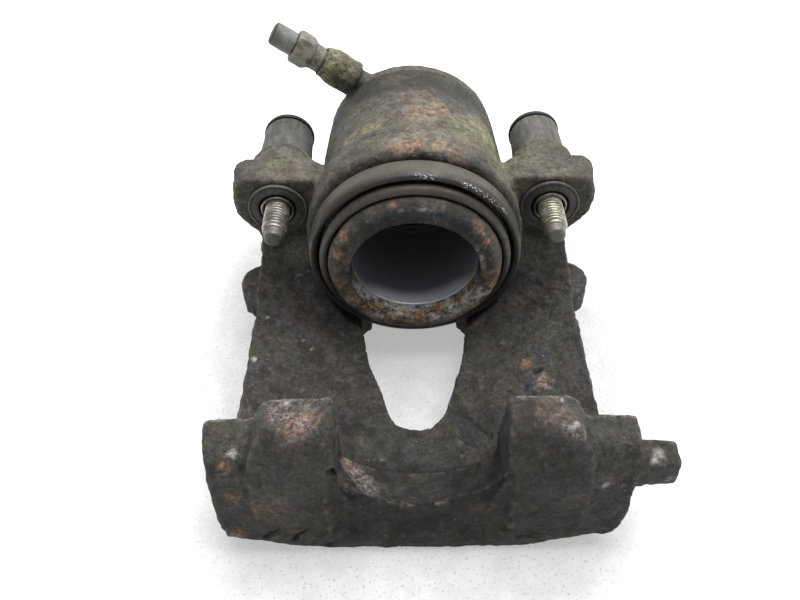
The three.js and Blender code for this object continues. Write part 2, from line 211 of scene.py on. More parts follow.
def dense(profile, step):
    """The profile with points added so that none is further than step from the next."""
    out = [profile[0]]
    for a, b in zip(profile, profile[1:]):
        n = max(1, math.ceil(math.dist(a, b) / step))
        out += [(a[0] + (b[0] - a[0]) * i / n, a[1] + (b[1] - a[1]) * i / n) for i in range(1, n + 1)]
    return out


def rounded(profile, radius):
    """Profile whose inner corners are rounded; a third number in a point is its own radius."""
    points = [tuple(p) for p in profile]
    out = [points[0][:2]]
    for before, here, after in zip(points, points[1:], points[2:]):
        r = here[2] if len(here) > 2 else radius
        a, p, b = (np.array(q[:2], float) for q in (before, here, after))
        la, lb = np.linalg.norm(a - p), np.linalg.norm(b - p)
        cut = min(r, la * 0.48, lb * 0.48)
        if cut < 1e-6:
            out.append(tuple(p))
            continue
        start, end = p + (a - p) / la * cut, p + (b - p) / lb * cut
        for t in (0, 0.25, 0.5, 0.75, 1):
            out.append(tuple((1 - t) ** 2 * start + 2 * t * (1 - t) * p + t * t * end))
    out.append(points[-1][:2])
    return out


def turned_points(rows, segments):
    """Ring coordinates (radius, height) to points about +Y; rows is a list of (radius, y)."""
    angle = np.arange(segments) * 2 * math.pi / segments
    radius = np.array([r for r, _ in rows])[:, None]
    height = np.array([y for _, y in rows])[:, None] + 0 * angle[None, :]
    return np.stack([radius * np.cos(angle), height, radius * np.sin(angle)], axis=-1)


def grid_mesh(name, grid, cap_start, cap_end, loop):
    """Quads between rings of points; loop joins the last ring to the first, caps close the ends at a pole."""
    rings, segments = grid.shape[:2]
    vertices = grid.reshape(-1, 3)
    faces = []
    for i in range(rings if loop else rings - 1):
        a, b = i * segments, ((i + 1) % rings) * segments
        for k in range(segments):
            n = (k + 1) % segments
            faces.append((a + k, b + k, b + n, a + n))
    if cap_start:
        pole = len(vertices)
        vertices = np.vstack([vertices, grid[0].mean(0)])
        faces += [(pole, k, (k + 1) % segments) for k in range(segments)]
    if cap_end:
        pole = len(vertices)
        vertices = np.vstack([vertices, grid[-1].mean(0)])
        last = (rings - 1) * segments
        faces += [(pole, last + (k + 1) % segments, last + k) for k in range(segments)]
    mesh = bpy.data.meshes.new(name)
    mesh.from_pydata(vertices.tolist(), [], faces)
    mesh.update()
    return mesh


def outward(mesh):
    """Turns the faces out."""
    mesh.calc_loop_triangles()
    co = coordinates(mesh)
    tri = np.array([t.vertices[:] for t in mesh.loop_triangles])
    a, b, c = (co[tri[:, k]] for k in range(3))
    if np.einsum("ij,ij->i", a, np.cross(b, c)).sum() < 0:
        mesh.flip_normals()
    return mesh


def lathe(name, profile, segments, step, corner, matrix=None, loop=False, bumps=None):
    """Solid of revolution about +Y through (radius, y) in mm.

    bumps(points) gives how far out each point moves."""
    points = list(profile)
    if loop:
        points = rounded(points + [points[0], points[1]], corner)[1:-1]
        first = points[0]
        points = dense(points, step)
        if math.dist(points[-1], first) < 1e-6:
            points.pop()
        cap_start = cap_end = False
    else:
        cap_start, cap_end = points[0][0] < 1e-6, points[-1][0] < 1e-6
        points = dense(rounded(points, corner), step)
        points = [p for p in points if p[0] > 0.04]
    grid = turned_points(points, segments)
    mesh = outward(grid_mesh(name, grid, cap_start, cap_end, loop))
    co = coordinates(mesh)
    if bumps is not None:
        co = co + normals(mesh) * bumps(co)[:, None]
    if matrix is not None:
        co = co @ matrix[:3, :3].T + matrix[:3, 3]
    place_vertices(mesh, to_row(co))
    return mesh


def hexagon(inner_radius, angle):
    """How far from the middle a hexagon's side lies, at each angle."""
    return inner_radius / np.cos((angle + math.pi / 6) % (math.pi / 3) - math.pi / 6)


def shift(x=0.0, y=0.0, z=0.0):
    matrix = np.eye(4)
    matrix[:3, 3] = (x, y, z)
    return matrix


def pin_matrix(side_name):
    centre = to_bore(middle(f"{side_name}_guide_sleeve"))
    return shift(centre[0], 0, centre[2])


def bleeder_matrix():
    """+Y along the bleed screw, from where its axis crosses the middle plane."""
    d = BLEEDER_AXIS
    origin = to_bore(bleeder_joint["pos_m"])
    origin = origin - d * (origin[0] / d[0])
    x = np.cross(d, [0, 1, 0])
    x /= np.linalg.norm(x)
    z = np.cross(x, d)
    matrix = np.eye(4)
    matrix[:3, 0], matrix[:3, 1], matrix[:3, 2] = x, d, z
    matrix[:3, 3] = origin
    return matrix


# ---------- Materials ----------
class Paint:
    """A material of one Principled shader, with short calls for the nodes that feed it."""

    def __init__(self, name, **values):
        self.material = bpy.data.materials.new(name)
        self.material.use_nodes = True
        self.tree = self.material.node_tree
        self.shader = self.tree.nodes["Principled BSDF"]
        for key, value in values.items():
            self.shader.inputs[key.replace("_", " ")].default_value = value
        self.coordinates = self.tree.nodes.new("ShaderNodeTexCoord").outputs["Object"]

    def plug(self, socket, value):
        if isinstance(value, bpy.types.NodeSocket):
            self.tree.links.new(value, socket)
        elif isinstance(value, tuple) and len(value) == 3 and socket.type == "RGBA":
            socket.default_value = (*value, 1)
        else:
            socket.default_value = value

    def stretched(self, x, y, z):
        node = self.tree.nodes.new("ShaderNodeMapping")
        self.plug(node.inputs["Vector"], self.coordinates)
        node.inputs["Scale"].default_value = (x, y, z)
        return node.outputs["Vector"]

    def noise(self, size, detail=3.0, rough=0.6, warp=0.0, vector=None):
        """Noise with features of about that many millimetres."""
        node = self.tree.nodes.new("ShaderNodeTexNoise")
        self.plug(node.inputs["Vector"], vector or self.coordinates)
        node.inputs["Scale"].default_value = 1 / (size * MM)
        node.inputs["Detail"].default_value = detail
        node.inputs["Roughness"].default_value = rough
        node.inputs["Distortion"].default_value = warp
        return node.outputs["Fac"]

    def mask(self, name):
        node = self.tree.nodes.new("ShaderNodeAttribute")
        node.attribute_name = name
        return node.outputs["Fac"]

    def span(self, value, low, high, to_low=0.0, to_high=1.0):
        node = self.tree.nodes.new("ShaderNodeMapRange")
        node.interpolation_type = "SMOOTHSTEP"
        self.plug(node.inputs["Value"], value)
        for key, number in (("From Min", low), ("From Max", high), ("To Min", to_low), ("To Max", to_high)):
            node.inputs[key].default_value = number
        return node.outputs["Result"]

    def math(self, kind, a, b=0.0):
        node = self.tree.nodes.new("ShaderNodeMath")
        node.operation = kind
        self.plug(node.inputs[0], a)
        self.plug(node.inputs[1], b)
        return node.outputs[0]

    def mix(self, amount, a, b, kind="MIX"):
        node = self.tree.nodes.new("ShaderNodeMix")
        node.data_type = "RGBA"
        node.blend_type = kind
        self.plug(node.inputs[0], amount)
        self.plug(node.inputs[6], a)
        self.plug(node.inputs[7], b)
        return node.outputs[2]

    def bump(self, height, depth, normal=None):
        """Relief of about that many millimetres."""
        node = self.tree.nodes.new("ShaderNodeBump")
        node.inputs["Distance"].default_value = depth * MM
        self.plug(node.inputs["Height"], height)
        if normal:
            self.plug(node.inputs["Normal"], normal)
        return node.outputs["Normal"]

    def finish(self, color, roughness, normal=None, metallic=None):
        for key, value in (("Base Color", color), ("Roughness", roughness), ("Normal", normal),
                           ("Metallic", metallic)):
            if value is not None:
                self.plug(self.shader.inputs[key], value)
        return self.material


def cast_iron_material():
    p = Paint("cast_iron_rough", Specular_IOR_Level=0.3)
    patchy = p.noise(5, 5, 0.65, 0.3)
    grain, fine = p.noise(1.3, 4, 0.72), p.noise(0.5, 2, 0.7)
    color = p.mix(p.span(patchy, 0.36, 0.62), (0.019, 0.016, 0.014), (0.046, 0.040, 0.034))
    # stains: olive, purple-grey, tan and dark
    for size, low, amount, tint in ((13, 0.48, 0.75, (0.040, 0.041, 0.030)),
                                    (8, 0.51, 0.7, (0.042, 0.037, 0.044)),
                                    (5, 0.55, 0.5, (0.068, 0.055, 0.045)),
                                    (3, 0.60, 0.6, (0.078, 0.074, 0.062)),
                                    (6.5, 0.54, 0.55, (0.016, 0.013, 0.012))):
        color = p.mix(p.span(p.noise(size, 4, 0.6, 0.3), low, low + 0.09, 0, amount), color, tint)
    # dirt on the cylinder and the ears, streaked along the turning marks
    dirt = p.mask("dirt")
    dirt_color = p.mix(p.span(p.noise(7, 4, 0.6, 0.3), 0.40, 0.60), (0.070, 0.062, 0.047),
                       (0.114, 0.108, 0.078))
    dirt_color = p.mix(p.span(p.noise(13, 3, 0.6, 0.3), 0.50, 0.62, 0, 0.6), dirt_color,
                       (0.140, 0.116, 0.092))
    dirt_color = p.mix(p.span(p.noise(9, 4, 0.6, 0.3), 0.37, 0.49, 0.8, 0), dirt_color, (0.058, 0.060, 0.054))
    streaks = p.noise(2.2, 4, 0.7, vector=p.stretched(0.25, 1.2, 0.25))
    dirt_color = p.mix(1.0, dirt_color, p.span(streaks, 0.3, 0.7, 0.84, 1.16), "MULTIPLY")
    color = p.mix(dirt, color, dirt_color)
    ochre = p.math("MULTIPLY", p.mask("ochre"), p.span(p.noise(2.4, 4, 0.7, 0.3), 0.36, 0.60))
    color = p.mix(ochre, color, (0.225, 0.210, 0.110))
    blush = p.math("MULTIPLY", p.mask("blush"), p.span(p.noise(3.5, 3, 0.6), 0.34, 0.62, 0.05, 0.7))
    color = p.mix(blush, color, p.mix(p.span(p.noise(5, 2), 0.45, 0.6), (0.225, 0.178, 0.155),
                                      (0.25, 0.165, 0.112)))
    # bright flakes behind the boot: orange, ochre and purple
    vivid = p.math("MULTIPLY", p.mask("vivid"), p.span(p.noise(1.7, 4, 0.78, 0.2), 0.46, 0.56))
    vivid_color = p.mix(p.span(p.noise(4.2, 2, 0.5), 0.42, 0.54), (0.33, 0.155, 0.085), (0.33, 0.27, 0.12))
    vivid_color = p.mix(p.span(p.noise(2.4, 3, 0.6), 0.49, 0.56, 0, 0.9), vivid_color, (0.13, 0.070, 0.075))
    color = p.mix(vivid, color, vivid_color)
    # rust: orange and brown, breaking up at its edges
    rust = p.math("MULTIPLY", p.mask("rust"), p.span(p.noise(2.6, 4, 0.7), 0.34, 0.60))
    rust_color = p.mix(p.span(p.noise(1.8, 3), 0.40, 0.62), (0.15, 0.072, 0.046), (0.29, 0.175, 0.105))
    color = p.mix(rust, color, rust_color)
    # pale scabs and chips, and a painted highlight along the recess wall's top edge
    pale = p.math("MULTIPLY", p.mask("pale"), p.span(p.noise(1.5, 4, 0.78), 0.44, 0.56))
    pale_color = p.mix(p.span(p.noise(1.1, 2), 0.42, 0.58), (0.17, 0.125, 0.10), (0.17, 0.155, 0.165))
    pale_color = p.mix(p.span(p.noise(0.7, 2), 0.60, 0.70, 0, 0.8), pale_color, (0.42, 0.39, 0.35))
    color = p.mix(pale, color, pale_color)
    color = p.mix(p.mask("chip"), color, (0.27, 0.25, 0.225))
    # painted shade: darker in the valley between the fingers, on the outer face and in the recess
    color = p.mix(p.mask("painted_shade"), color, p.mix(1.0, color, (0.36, 0.37, 0.38), "MULTIPLY"))
    # fine grain, specks and flecks
    color = p.mix(1.0, color, p.span(grain, 0.3, 0.7, 0.60, 1.42), "MULTIPLY")
    speck = p.noise(1.9, 3, 0.7)
    color = p.mix(p.span(speck, 0.61, 0.69, 0, 0.42), color, (0.115, 0.102, 0.092))
    color = p.mix(p.span(speck, 0.30, 0.40, 0.6, 0), color, (0.012, 0.010, 0.009))
    fleck = p.math("MULTIPLY", p.span(p.noise(0.8, 1, 0.5), 0.72, 0.78), p.span(p.noise(12, 2), 0.54, 0.68))
    color = p.mix(p.math("MULTIPLY", fleck, 0.5), color, (0.34, 0.33, 0.32))
    # painted shade in hollows, marks and bores; edges painted lighter, partly as wear and partly as painted
    # highlight
    color = p.mix(p.mask("hollow_shade"), color, (0.008, 0.007, 0.006))
    edge = p.math("MULTIPLY", p.mask("edge"), p.span(p.noise(3, 3), 0.38, 0.62))
    color = p.mix(p.math("MULTIPLY", edge, 0.45), color, (0.16, 0.135, 0.11))
    roughness = p.span(patchy, 0.3, 0.7, 0.62, 0.85)
    normal = p.bump(grain, 0.7)
    normal = p.bump(fine, 0.14, normal)
    return p.finish(color, roughness, normal)


def piston_material():
    p = Paint("piston_steel_worn", Specular_IOR_Level=0.3)
    grain = p.noise(1.0, 4, 0.7)
    patchy = p.noise(4.5, 4, 0.65, 0.3)
    rim = p.mask("rim")
    # inside the cup: a near-white painted reflection low in its mouth, fading to painted shade deeper in; its
    # end painted black as shade
    cup = p.mix(p.span(p.mask("deep_shade"), 0.0, 0.30), (0.86, 0.88, 0.92), (0.22, 0.225, 0.255))
    cup = p.mix(p.span(p.mask("deep_shade"), 0.35, 1.0), cup, (0.19, 0.19, 0.215))
    cup = p.mix(p.mask("end"), cup, (0.002, 0.002, 0.002))
    rim_color = p.mix(p.span(patchy, 0.38, 0.60), (0.041, 0.036, 0.030), (0.084, 0.075, 0.062))
    rim_color = p.mix(p.span(p.noise(6, 3, 0.6, 0.3), 0.50, 0.62, 0, 0.75), rim_color, (0.056, 0.060, 0.044))
    rim_color = p.mix(p.span(p.noise(3.2, 3, 0.6, 0.3), 0.55, 0.66, 0, 0.6), rim_color, (0.15, 0.105, 0.085))
    bare = p.math("MULTIPLY", p.mask("bare"), p.span(p.noise(3.5, 4, 0.65, 0.2), 0.30, 0.55))
    bare_color = p.mix(p.span(p.noise(1.6, 3, 0.65), 0.44, 0.66), (0.034, 0.038, 0.044),
                       (0.088, 0.098, 0.110))
    rim_color = p.mix(bare, rim_color, bare_color)
    rusty = p.math("MULTIPLY", p.mask("rusty"), p.span(p.noise(1.8, 4, 0.7), 0.36, 0.56))
    rim_color = p.mix(rusty, rim_color, p.mix(p.span(p.noise(1.2, 2), 0.4, 0.6), (0.20, 0.10, 0.055),
                                              (0.30, 0.20, 0.13)))
    scab = p.math("MULTIPLY", p.mask("worn"), p.span(p.noise(2.6, 5, 0.75, 0.2), 0.36, 0.54))
    scab_color = p.mix(p.span(p.noise(3.0, 3, 0.7), 0.42, 0.58), (0.29, 0.14, 0.072), (0.46, 0.40, 0.25))
    scab_color = p.mix(p.span(p.noise(4.5, 4, 0.7), 0.46, 0.56, 0, 0.9), scab_color, (0.62, 0.59, 0.63))
    rim_color = p.mix(scab, rim_color, scab_color)
    rim_color = p.mix(p.mask("pink"), rim_color, (0.60, 0.33, 0.24))
    rim_color = p.mix(p.span(p.noise(1.3, 2, 0.6), 0.66, 0.74, 0, 0.6), rim_color, (0.30, 0.27, 0.24))
    rim_color = p.mix(1.0, rim_color, p.span(grain, 0.3, 0.7, 0.6, 1.35), "MULTIPLY")
    color = p.mix(rim, cup, rim_color)
    # painted highlights along the rim's edges and the inner crease
    bright = p.math("MULTIPLY", p.mask("lip"), p.span(p.noise(3, 3), 0.38, 0.56))
    color = p.mix(p.math("MULTIPLY", bright, 0.85), color, (0.48, 0.48, 0.50))
    # painted shade, near black
    color = p.mix(p.mask("painted_shade"), color, (0.007, 0.0065, 0.006))
    roughness = p.span(rim, 0.0, 1.0, 0.36, 0.72)
    normal = p.bump(p.math("MULTIPLY", grain, p.span(rim, 0, 1, 0.15, 1.0)), 0.3)
    return p.finish(color, roughness, normal, p.span(p.math("ADD", p.mask("painted_shade"), p.mask("end")), 0, 0.8,
                                                     0.35, 0))


def rubber_material(name, dark, light, size=7.0, rough=(0.45, 0.7), streak=None, dust=None, painted_glints=False):
    p = Paint(name, Specular_IOR_Level=0.35)
    patchy = p.noise(size, 4, 0.6, 0.3)
    grain = p.noise(0.7, 3, 0.7)
    color = p.mix(p.span(patchy, 0.36, 0.64), dark, light)
    dust = dust or tuple(min(1, 1.9 * c + 0.02) for c in light)
    color = p.mix(p.math("MULTIPLY", p.mask("dust"), p.span(patchy, 0.2, 0.7, 0.55, 1.0)), color, dust)
    if streak:
        lines = p.noise(1.6, 3, 0.6, vector=p.stretched(*streak))
        color = p.mix(1.0, color, p.span(lines, 0.32, 0.68, 0.72, 1.22), "MULTIPLY")
    color = p.mix(1.0, color, p.span(grain, 0.3, 0.7, 0.79, 1.21), "MULTIPLY")
    # painted shade in creases and gaps
    color = p.mix(p.mask("hollow_shade"), color, (0.008, 0.008, 0.008))
    # painted glints: small white spots
    if painted_glints:
        spots = p.math("MULTIPLY", p.mask("painted_glints"), p.span(p.noise(0.5, 2, 0.6), 0.57, 0.63))
        color = p.mix(spots, color, (0.70, 0.70, 0.70))
    roughness = p.span(p.noise(3.5, 3), 0.35, 0.65, *rough)
    return p.finish(color, roughness, p.bump(grain, 0.1))


def steel_material(name, dark, light, metallic=0.85, rough=(0.3, 0.5)):
    p = Paint(name, Metallic=metallic)
    patchy = p.noise(2.5, 4, 0.65, 0.3)
    grain = p.noise(0.5, 3, 0.7)
    color = p.mix(p.span(patchy, 0.38, 0.62), dark, light)
    color = p.mix(1.0, color, p.span(grain, 0.3, 0.7, 0.8, 1.15), "MULTIPLY")
    # painted shade in creases and gaps, less metallic there
    color = p.mix(p.mask("hollow_shade"), color, tuple(0.22 * c for c in dark))
    roughness = p.span(patchy, 0.35, 0.65, *rough)
    return p.finish(color, roughness, p.bump(grain, 0.06), p.span(p.mask("hollow_shade"), 0.3, 0.9, metallic, 0.1))


# ---------- Housing ----------
VOXEL = 0.0007


def remeshed(node):
    """The CAD node's solid as an even mesh of small quads."""
    source = bpy.data.objects.new("source", frame["nodes"][node].data.copy())
    bpy.context.scene.collection.objects.link(source)
    remesh = source.modifiers.new("even", "REMESH")
    remesh.mode = "VOXEL"
    remesh.voxel_size = VOXEL
    evaluated = source.evaluated_get(bpy.context.evaluated_depsgraph_get())
    mesh = bpy.data.meshes.new_from_object(evaluated)
    bpy.data.objects.remove(source)
    return mesh


# Marks in the casting: two ends of a line (or one point), half width and depth
MARKS = [
    ((14, -38, -29.2), (21.7, -46.7, -28.1), 0.8, 0.7), ((-15.8, 23.4, 29.1), (-8.6, 21.4, 32.5), 0.8, 0.5),
    ((37.2, -25.4, -24.3), (38.4, -25.4, -24.0), 1.5, 1.5),
    ((33.5, -31.5, -25.2), (34.2, -30.2, -25.0), 1.2, 0.7),
    ((-46.5, -17, -20.6), (-42.5, -17.8, -22.0), 0.8, 0.5),
    ((-18.2, -20.5, -28.8), (-16.0, -21.8, -29.2), 0.8, 0.6),
    ((-37, -22.8, -24.2), (-25, -23.2, -27.4), 1.0, -0.45),
    ((-24.6, -73.6, -11), (-24.6, -75, -33), 1.3, -0.5),
    ((-38.1, -73.9, -29.6), (-42.6, -74.7, -33.8), 1.0, 1.0),
    ((-29.8, -73.8, -29.3), (-34.9, -74.9, -34.9), 1.0, 1.0),
    ((-25.4, -74.6, -38.6), (-22.6, -73.4, -34), 1.0, 0.9),
    ((-34.9, -75.0, -34.9), (-33.0, -75.0, -34.9), 0.8, 0.6),
    ((4, -73.2, -36), (13, -73.2, -35.7), 0.8, 0.6), ((27, -75.0, -34.5), (34, -75.0, -33.8), 0.8, 0.6),
]
NOTCH = ((-22.6, -71.2, -6.0), (-20.6, -71.6, -10.4), 1.25, 2.8)
RUST_SPOTS = [
    (-4, 11, 34, 3.5, 1.0), (1, 12, 34.4, 3, 0.9), (8, 12, 33.5, 3, 0.8), (12, 9.5, 32, 4, 0.6),
    (-21, -57.5, -20.5, 5, 1.0), (-18.5, -60.5, -21.3, 4, 0.5), (-50.7, -68, -8.1, 2.6, 1.0),
    (35, -21.8, -24.9, 3.2, 1.0), (-51, -74.5, -33, 4, 0.8), (-31, -64.5, 4.8, 5, 0.7),
    (-27, -62.5, 5.2, 3.5, 0.8), (33, -61, 5.5, 6, 0.3), (-40, -72, -20, 8, 0.35), (-49, -70, -18, 4, 0.6),
    (39, -29.5, -23.8, 4, 0.5),
]
PALE_SPOTS = [
    (-35, -60, 5.5, 7, 0.8), (-31.6, -63.8, 5, 7, 0.78), (-28, -60, 5.5, 5, 0.6), (36, -62, 5.5, 6.5, 0.45),
    (38.5, -65.5, 4, 4.5, 0.95), (-19.2, -59.7, -21.3, 5.5, 1.0), (-16.5, -63, -21.3, 6.5, 1.0),
    (-14.4, -66.6, -20.7, 5, 1.0), (62, -67, -8, 3, 1.0), (66, -69, -15, 2.5, 0.8),
    (48.5, -71.5, -13, 3.2, 0.8), (39, -30.5, -23.8, 4.5, 0.8), (9, 9.5, 33, 5, 0.9),
    (-4, 10.3, 34, 3.6, 1.0), (3, 10, 34.2, 3.4, 1.0), (14.5, 9.8, 31.3, 3, 0.9),
    (-21.8, -60, -3.8, 1.6, 1.0), (-21.5, -63.4, -5.2, 1.6, 0.9), (0, -59.5, -28.6, 4, 0.4),
    (-48.1, -66.1, -5.0, 3, 1.0),
]
OCHRE_SPOTS = [
    (23, 38, 21, 10, 1.0), (25.5, 28, 20, 10, 0.9), (17, 31, 27, 9, 0.7), (-27, 66, 30, 11, 0.95),
    (6, 13, 33.6, 2.2, 1.0), (12, 22, 30, 7, 0.4), (-45, 26, 17, 7, 0.2), (46, 26, 17, 7, 0.2),
    (-19.6, 28.9, 25.4, 4, 0.9), (-13.4, 29.3, 29.1, 5, 0.7), (27, 15, 21, 7, 0.5), (8, 12, 33.5, 2, 0.8),
    (-7, 57, 27, 6, 0.3),
]
BLUSH_SPOTS = [
    (-2, 14, 34.2, 8, 0.9), (7, 14, 33.5, 8, 0.9), (3, 22, 33, 8, 0.6), (0, 33, 31.6, 9, 0.9),
    (7, 37, 30.5, 8, 0.9), (2, 44, 31, 8, 0.6), (-3, 56, 30, 7, 0.5), (-19, 29, 25.5, 5, 0.5),
]
VIVID_SPOTS = [
    (-5, 11.5, 33.6, 3.6, 1.0), (0, 10.2, 34.2, 3.2, 1.0), (-2, 14, 34.0, 3.0, 0.7),
    (6, 9.6, 34.0, 3.2, 1.0), (10.5, 10.4, 32.9, 3.2, 1.0), (14.5, 9.0, 31.7, 3.0, 0.9),
    (8, 13.5, 33.3, 3, 0.7), (2, 33, 31.7, 6, 0.42), (8, 38, 30.4, 6, 0.40),
]
CHIPS = [
    (-48.3, -65.9, -4.9, 1.6), (-50.3, -23, -19.4, 1.2), (62.2, -64.6, -9.0, 2.0), (60.8, -66.6, -9.3, 1.3),
    (64.5, -69.6, -12.5, 1.0), (-36.3, -11.1, -24.6, 0.8), (-33.5, -14.3, -25.4, 0.6),
    (48.2, -70.8, -14.6, 1.3), (-48.2, -4.7, -20.3, 0.7), (39.0, -64.6, 4.6, 1.1), (37.4, -65.2, 4.4, 0.9),
    (-33.5, -57.5, 5.5, 0.9), (-28, -58, 5.5, 0.7), (36, -57.6, 5.5, 0.7), (-10.5, -53, -29.5, 0.8),
    (65, -70.6, -17, 1.0),
]


def from_line(points, start, end):
    """Distance of each point from a straight line between two ends."""
    start, end = np.array(start, float), np.array(end, float)
    way = end - start
    along = np.clip((points - start) @ way / (way @ way), 0, 1)
    return np.linalg.norm(points - start - along[:, None] * way, axis=1)


def carved(points, normal):
    """Shallow features of the casting: the dish outside, the recess's lip, the notch and the marks."""
    x, y, z = points.T
    radial = np.hypot(x, z)
    dish = (1 - ramp(np.abs(x), 22.8, 24.6)) * ramp(-y, 70.9, 71.8) * ramp(z, -37, -30)
    points = points + np.array([0, 1.5, 0]) * dish[:, None]
    lip = (peak(y + 70.6 + 0.3 * noise(points, 3.5, 101), 0.55) * ramp(-z, 10, 15)
           * ramp(-radial, -26, -25))
    depth = 0.9 * lip * ramp(x, -15.5, -12)
    inner = ramp(-z, 9, 13) * ramp(radial, 26.5, 27.5) * (1 - ramp(radial, 31.5, 33))
    depth -= 0.7 * inner * peak(y + 58.6 + 0.3 * noise(points, 4, 107), 0.7)
    depth += 0.7 * inner * peak(y + 56.6, 0.8)
    for start, end, width, amount in MARKS:
        ragged = from_line(points, start, end) + 0.25 * noise(points, 1.6, 103)
        depth += amount * (1 - ramp(ragged, 0.25 * width, width))
    start, end, width, amount = NOTCH
    notch = amount * (1 - ramp(from_line(points, start, end), 0.4 * width, width))
    dark = np.maximum(ramp(depth, 0.25, 0.8), ramp(notch, 0.5, 2.0))
    return points - normal * depth[:, None] + np.array([0.15, 0.93, -0.3]) * notch[:, None], dark


def housing():
    mesh = remeshed(HOUSING)
    mesh.name = "housing_casting"
    edges = edge_list(mesh)
    points = to_bore(coordinates(mesh))
    radial = np.hypot(points[:, 0], points[:, 2])
    pins = [to_bore(middle(f"{s}_guide_sleeve")) for s in SIDES]
    from_pin = np.min([np.hypot(points[:, 0] - c[0], points[:, 2] - c[2]) for c in pins], axis=0)
    # bores keep their machined shape
    in_bore = ramp(points[:, 1], -3, 1) * (1 - ramp(points[:, 1], 62.5, 63.5))
    bored = np.maximum((1 - ramp(radial, 30.6, 31.0)) * in_bore,
                       (1 - ramp(from_pin, 8.6, 9.0)) * ramp(points[:, 1], 17, 18))
    for _ in range(5):
        points = relaxed(points, edges, 1, 0.5 * (1 - bored))
        points = relaxed(points, edges, 1, -0.52 * (1 - bored))
    points = relaxed(points, edges, 1, 0.5 * (1 - bored))
    place_vertices(mesh, to_row(points))
    points, dark = carved(points, normals(mesh))
    place_vertices(mesh, to_row(points))
    normal = normals(mesh)
    x, y, z = points.T
    radial = np.hypot(x, z)
    barrel = ramp(y, 17, 22) * (1 - ramp(radial, 34.5, 36))
    free = 1 - bored
    relief = (0.38 * fractal(points, 11, 2, 3) + 0.34 * fractal(points, 4.2, 3, 5) + 0.19
              * noise(points, 1.7, 9))
    pits = ramp(fractal(points, 3.4, 2, 21), 0.34, 0.62) * ramp(noise(points, 16, 23), -0.35, 0.25)
    scabs = ramp(fractal(points, 5.0, 2, 31), 0.20, 0.30) * ramp(noise(points, 22, 33), -0.1, 0.4)
    turning = 0.05 * noise(np.c_[y * 4, x * 0.15, z * 0.15], 1.6, 41)
    shape = (relief - 0.42 * pits + 0.30 * scabs) * (1 - 0.6 * barrel) + turning * barrel
    points = points + normal * (shape * free)[:, None]
    low, high = (to_bore(c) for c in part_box(HOUSING))
    points = np.clip(points, low + 0.02, high - 0.02)
    place_vertices(mesh, to_row(points))
    # masks for the finish: curve is how far each point stands out from its neighbours
    normal = normals(mesh)
    mean = relaxed(points, edges, 4, 0.5)
    curve = np.einsum("ij,ij->i", points - mean, normal)
    curve = relaxed(curve, edges, 2, 0.5)
    up = normal[:, 2]
    x, y, z = points.T
    set_mask(mesh, "edge", ramp(curve, 0.05, 0.22))
    # painted shade: the line across the cylinder's top, the band in the recess, the rim behind the boot; also
    # concave places, carved marks and bores
    crack = (peak(y - 9.2 + 0.7 * noise(points, 4, 111), 0.38) * ramp(z, 18, 26)
             * ramp(noise(points, 7, 113), -0.5, 0.1))
    band = (0.42 * (1 - ramp(radial, 31.5, 33)) * ramp(-y, 56, 58) * (1 - ramp(-y, 69, 70.5))
            * ramp(-z, 6, 14) * ramp(x, -13, -7))
    behind = 0.55 * (1 - ramp(y, 10, 12.5)) * ramp(y, 5, 7) * ramp(z, 20, 28) * ramp(radial, 33, 34)
    deep_shade = [ramp(-curve, 0.06, 0.30) * 0.8, 0.9 * dark, 0.9 * crack, band,
            behind * (0.7 + 0.8 * fractal(points, 3, 3, 115))]
    set_mask(mesh, "hollow_shade", np.maximum.reduce(deep_shade) + (1 - free) * 0.6)
    upper = ramp(y, 6, 14)
    dirt = (upper * (0.55 + 0.35 * ramp(up, 0, 0.8)) * ramp(z, -14, 2) + 0.22
            * ramp(fractal(points, 15, 3, 51), 0.1, 0.5))
    dirt *= (1 - 0.22 * ramp(np.abs(x), 36, 40)) * (1 - 0.32 * ramp(-x, 8, 18) * (1 - ramp(-x, 32, 35)))
    set_mask(mesh, "dirt", dirt * (0.8 + 0.4 * fractal(points, 9, 2, 53)) * (1 - 0.5 * ramp(-y, 55, 60)))
    # painted shade: the valley between the fingers, the outer face, the recess; also darker on the bridge's
    # right half and the end stub
    painted_shade = np.maximum.reduce([
        (1 - ramp(np.abs(x), 24, 33)) * ramp(-y, 24, 44) * ramp(-z, 9, 16) * 0.85,
        ramp(-y, 60, 68) * (0.1 + 0.45 * ramp(x, -32, -20)),
        0.25 * ramp(x, 10, 20) * ramp(-y, -2, 10),
        0.30 * ramp(x, 48, 57) * ramp(-y, 57, 61),
        0.62 * (1 - ramp(radial, 31.5, 33)) * ramp(-y, 55, 57) * ramp(-z, 4, 12) * ramp(x, -16, -8)])
    # pale spots and the painted highlight along the recess's upper crease stay free of the painted shade
    bright = blobs(points, PALE_SPOTS) + 0.6 * peak(y + 58.8, 0.5) * ramp(x, -9, -6) * (1 - ramp(x, 7, 10))
    set_mask(mesh, "painted_shade", painted_shade * (0.80 + 1.05 * fractal(points, 4.5, 3, 69)) * (1 - np.clip(bright, 0, 1)))
    set_mask(mesh, "rust", patches(points, RUST_SPOTS, 0.75, 3.5, 61))
    # a painted highlight along the top edge of the recess wall, put into the pale mask
    back_edge = peak(y + 56.5, 0.55) * ramp(z, -6, -4.2) * 0.8
    set_mask(mesh, "pale", np.maximum(patches(points, PALE_SPOTS, 0.8, 3, 63), back_edge))
    set_mask(mesh, "ochre", patches(points, OCHRE_SPOTS, 0.8, 4, 67))
    set_mask(mesh, "blush", patches(points, BLUSH_SPOTS, 0.8, 5, 65) * ramp(y, 8, 10))
    set_mask(mesh, "vivid", patches(points, VIVID_SPOTS, 0.9, 3, 68) * ramp(y, 7.2, 8.0))
    ragged = points + 0.5 * np.stack([noise(points, 1.1, seed) for seed in (105, 107, 109)], axis=1)
    set_mask(mesh, "chip", blobs(ragged, [(*chip, 1.0) for chip in CHIPS]))
    new_piece("housing_casting", mesh, cast_iron_material(), "housing", [HOUSING], sharp=0)


# ---------- Piston, seal and boot ----------
CUP_DEPTH = 43.0
